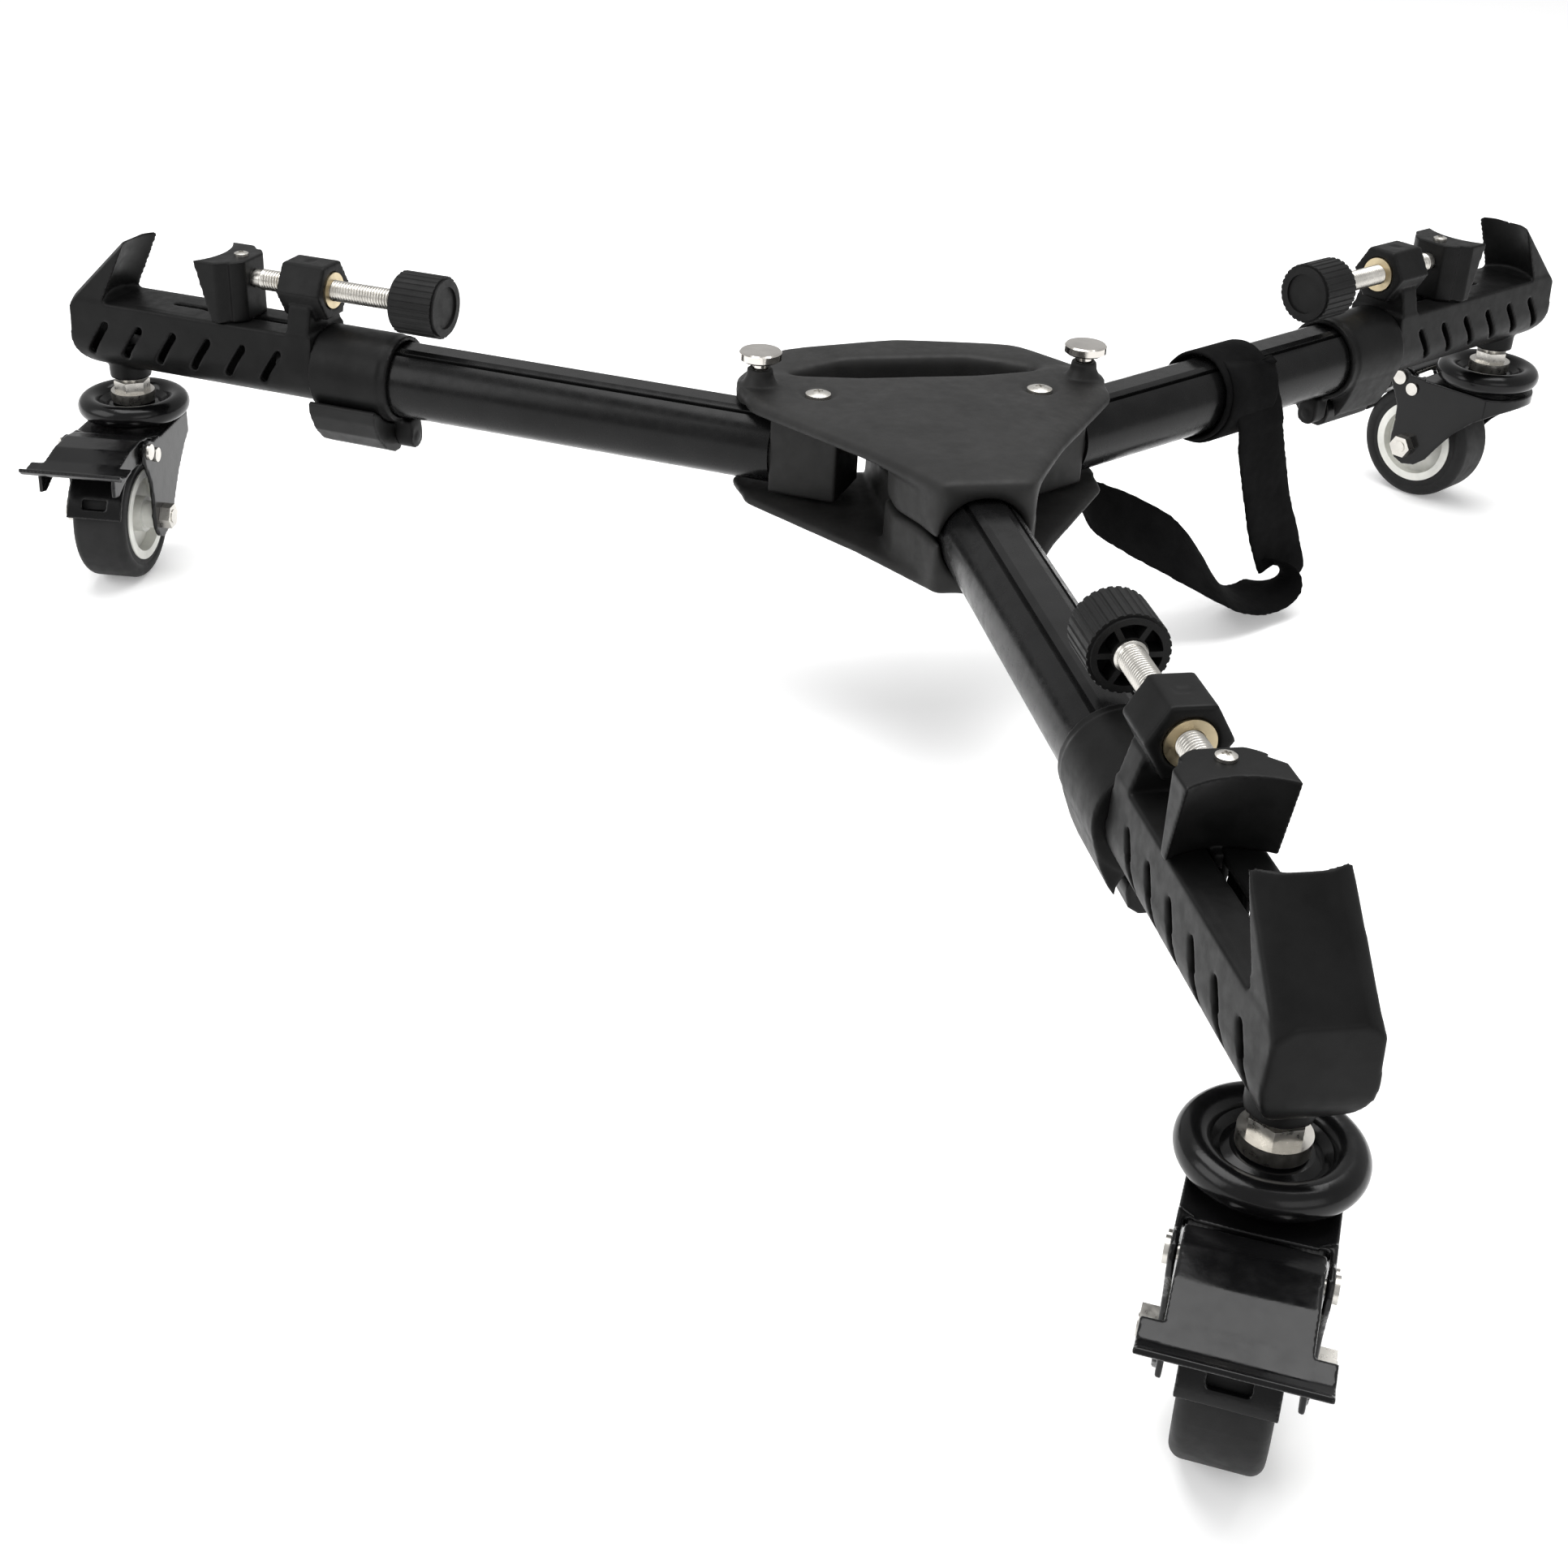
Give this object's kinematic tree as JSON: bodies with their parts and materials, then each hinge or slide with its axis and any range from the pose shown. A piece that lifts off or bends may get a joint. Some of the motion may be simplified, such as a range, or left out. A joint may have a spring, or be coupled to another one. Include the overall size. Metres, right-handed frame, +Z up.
{
  "type": "folding tripod dolly",
  "caption": "Folding three-arm tripod dolly with a carry-handle hub, telescoping clamp feet, hook-and-jaw screw clamps and braked swivel casters.",
  "frame": {"origin": "on the floor, at the centre of the footprint's bounding box", "axes": "+Z up, the front arm points along -Y, +X to the right seen from the front arm"},
  "size_m": [0.95, 0.9352, 0.2002],
  "materials": {
    "hub_plastic": "fine texture",
    "tube_black": "satin black anodised",
    "inner_tube": "satin black anodised",
    "moulding": "satin moulded",
    "lever_plastic": "satin moulded",
    "knob_plastic": "fine texture",
    "zinc_steel": "zinc plated",
    "insert_brass": "satin",
    "chrome_knob": "polished",
    "black_steel": "gloss black",
    "tread_rubber": "matt",
    "core_plastic": "satin",
    "strap_fabric": "woven"
  },
  "bodies": {
    "hub": {"hub_top_shell": "hub_plastic", "hub_bottom_shell": "hub_plastic", "hub_bolts": "zinc_steel", "front_tube": "tube_black", "front_collar": "moulding", "strap_loop": "strap_fabric"},
    "left_arm": {"left_root": "hub_plastic", "left_tube": "tube_black", "left_collar": "moulding"},
    "right_arm": {"right_root": "hub_plastic", "right_tube": "tube_black", "right_collar": "moulding", "strap_wrap": "strap_fabric"},
    "front_foot": {"front_foot": "moulding", "front_slider": "inner_tube", "front_insert": "insert_brass", "front_stem": "zinc_steel", "front_raceway": "black_steel"},
    "front_lever": {"front_lever": "lever_plastic"},
    "front_jaw": {"front_jaw": "moulding", "front_jaw_screw": "zinc_steel"},
    "front_screw": {"front_screw": "zinc_steel", "front_knob": "knob_plastic"},
    "front_swivel": {"front_fork": "black_steel", "front_axle": "zinc_steel"},
    "front_wheel": {"front_tyre": "tread_rubber", "front_core": "core_plastic"},
    "front_pedal": {"front_pedal": "black_steel"},
    "left_foot": {"left_foot": "moulding", "left_slider": "inner_tube", "left_insert": "insert_brass", "left_stem": "zinc_steel", "left_raceway": "black_steel"},
    "left_lever": {"left_lever": "lever_plastic"},
    "left_jaw": {"left_jaw": "moulding", "left_jaw_screw": "zinc_steel"},
    "left_screw": {"left_screw": "zinc_steel", "left_knob": "knob_plastic"},
    "left_swivel": {"left_fork": "black_steel", "left_axle": "zinc_steel"},
    "left_wheel": {"left_tyre": "tread_rubber", "left_core": "core_plastic"},
    "left_pedal": {"left_pedal": "black_steel"},
    "right_foot": {"right_foot": "moulding", "right_slider": "inner_tube", "right_insert": "insert_brass", "right_stem": "zinc_steel", "right_raceway": "black_steel"},
    "right_lever": {"right_lever": "lever_plastic"},
    "right_jaw": {"right_jaw": "moulding", "right_jaw_screw": "zinc_steel"},
    "right_screw": {"right_screw": "zinc_steel", "right_knob": "knob_plastic"},
    "right_swivel": {"right_fork": "black_steel", "right_axle": "zinc_steel"},
    "right_wheel": {"right_tyre": "tread_rubber", "right_core": "core_plastic"},
    "right_pedal": {"right_pedal": "black_steel"},
    "left_plunger": {"left_plunger": "chrome_knob"},
    "right_plunger": {"right_plunger": "chrome_knob"}
  },
  "joints": [
    {"name": "left_fold", "type": "hinge", "parent": "hub", "child": "left_arm", "pos_m": [-0.0476, 0.1532, 0.138], "axis": [0, 0, 1], "range_deg": [0, 120]},
    {"name": "right_fold", "type": "hinge", "parent": "hub", "child": "right_arm", "pos_m": [0.0712, 0.1532, 0.138], "axis": [0, 0, 1], "range_deg": [-120, 0]},
    {"name": "front_telescope", "type": "slide", "parent": "hub", "child": "front_foot", "axis": [0, -1, 0], "range_m": [0, 0.08]},
    {"name": "front_lever_flip", "type": "hinge", "parent": "hub", "child": "front_lever", "pos_m": [0.0118, -0.2051, 0.105], "axis": [0, -1, 0], "range_deg": [-105, 0]},
    {"name": "front_jaw_slide", "type": "slide", "parent": "front_foot", "child": "front_jaw", "axis": [0, -1, 0], "range_m": [-0.0201, 0.0381]},
    {"name": "front_screw_turn", "type": "hinge", "parent": "front_jaw", "child": "front_screw", "pos_m": [0.0118, -0.2451, 0.183], "axis": [0, -1, 0], "range_deg": [-4140, 7842]},
    {"name": "front_swivel_turn", "type": "hinge", "parent": "front_foot", "child": "front_swivel", "pos_m": [0.0118, -0.3651, 0.09], "axis": [0, 0, 1], "continuous": true},
    {"name": "front_wheel_spin", "type": "hinge", "parent": "front_swivel", "child": "front_wheel", "pos_m": [-0.00409, -0.39628, 0.038], "axis": [0.891, -0.454, 0], "continuous": true},
    {"name": "front_pedal_press", "type": "hinge", "parent": "front_swivel", "child": "front_pedal", "pos_m": [-0.00931, -0.40653, 0.0825], "axis": [0.891, -0.454, 0], "range_deg": [-10, 2.4]},
    {"name": "left_telescope", "type": "slide", "parent": "left_arm", "child": "left_foot", "axis": [-0.866, 0.5, 0], "range_m": [0, 0.08]},
    {"name": "left_lever_flip", "type": "hinge", "parent": "left_arm", "child": "left_lever", "pos_m": [-0.28056, 0.2877, 0.105], "axis": [-0.866, 0.5, 0], "range_deg": [-105, 0]},
    {"name": "left_jaw_slide", "type": "slide", "parent": "left_foot", "child": "left_jaw", "axis": [-0.866, 0.5, 0], "range_m": [-0.0201, 0.0381]},
    {"name": "left_screw_turn", "type": "hinge", "parent": "left_jaw", "child": "left_screw", "pos_m": [-0.3152, 0.3077, 0.183], "axis": [-0.866, 0.5, 0], "range_deg": [-4140, 7842]},
    {"name": "left_swivel_turn", "type": "hinge", "parent": "left_foot", "child": "left_swivel", "pos_m": [-0.41913, 0.3677, 0.09], "axis": [0, 0, 1], "continuous": true},
    {"name": "left_wheel_spin", "type": "hinge", "parent": "left_swivel", "child": "left_wheel", "pos_m": [-0.42877, 0.33406, 0.038], "axis": [0.9613, -0.2756, 0], "continuous": true},
    {"name": "left_pedal_press", "type": "hinge", "parent": "left_swivel", "child": "left_pedal", "pos_m": [-0.43194, 0.323, 0.0825], "axis": [0.9613, -0.2756, 0], "range_deg": [-10, 2.4]},
    {"name": "right_telescope", "type": "slide", "parent": "right_arm", "child": "right_foot", "axis": [0.866, 0.5, 0], "range_m": [0, 0.08]},
    {"name": "right_lever_flip", "type": "hinge", "parent": "right_arm", "child": "right_lever", "pos_m": [0.30416, 0.2877, 0.105], "axis": [0.866, 0.5, 0], "range_deg": [-105, 0]},
    {"name": "right_jaw_slide", "type": "slide", "parent": "right_foot", "child": "right_jaw", "axis": [0.866, 0.5, 0], "range_m": [-0.0201, 0.0381]},
    {"name": "right_screw_turn", "type": "hinge", "parent": "right_jaw", "child": "right_screw", "pos_m": [0.3388, 0.3077, 0.183], "axis": [0.866, 0.5, 0], "range_deg": [-4140, 7842]},
    {"name": "right_swivel_turn", "type": "hinge", "parent": "right_foot", "child": "right_swivel", "pos_m": [0.44272, 0.3677, 0.09], "axis": [0, 0, 1], "continuous": true},
    {"name": "right_wheel_spin", "type": "hinge", "parent": "right_swivel", "child": "right_wheel", "pos_m": [0.42366, 0.39705, 0.038], "axis": [-0.8387, -0.5446, 0], "continuous": true},
    {"name": "right_pedal_press", "type": "hinge", "parent": "right_swivel", "child": "right_pedal", "pos_m": [0.4174, 0.4067, 0.0825], "axis": [-0.8387, -0.5446, 0], "range_deg": [-10, 2.4]},
    {"name": "left_plunger_lift", "type": "slide", "parent": "hub", "child": "left_plunger", "axis": [0, 0, 1], "range_m": [0, 0.008], "stiffness_N_per_m": 400, "springref_m": -0.004},
    {"name": "right_plunger_lift", "type": "slide", "parent": "hub", "child": "right_plunger", "axis": [0, 0, 1], "range_m": [0, 0.008], "stiffness_N_per_m": 400, "springref_m": -0.004}
  ],
  "couplings": [
    {"joint": "front_screw_turn", "follows": "front_jaw_slide", "rad_per_m": 3590.4},
    {"joint": "left_screw_turn", "follows": "left_jaw_slide", "rad_per_m": 3590.4},
    {"joint": "right_screw_turn", "follows": "right_jaw_slide", "rad_per_m": 3590.4}
  ]
}
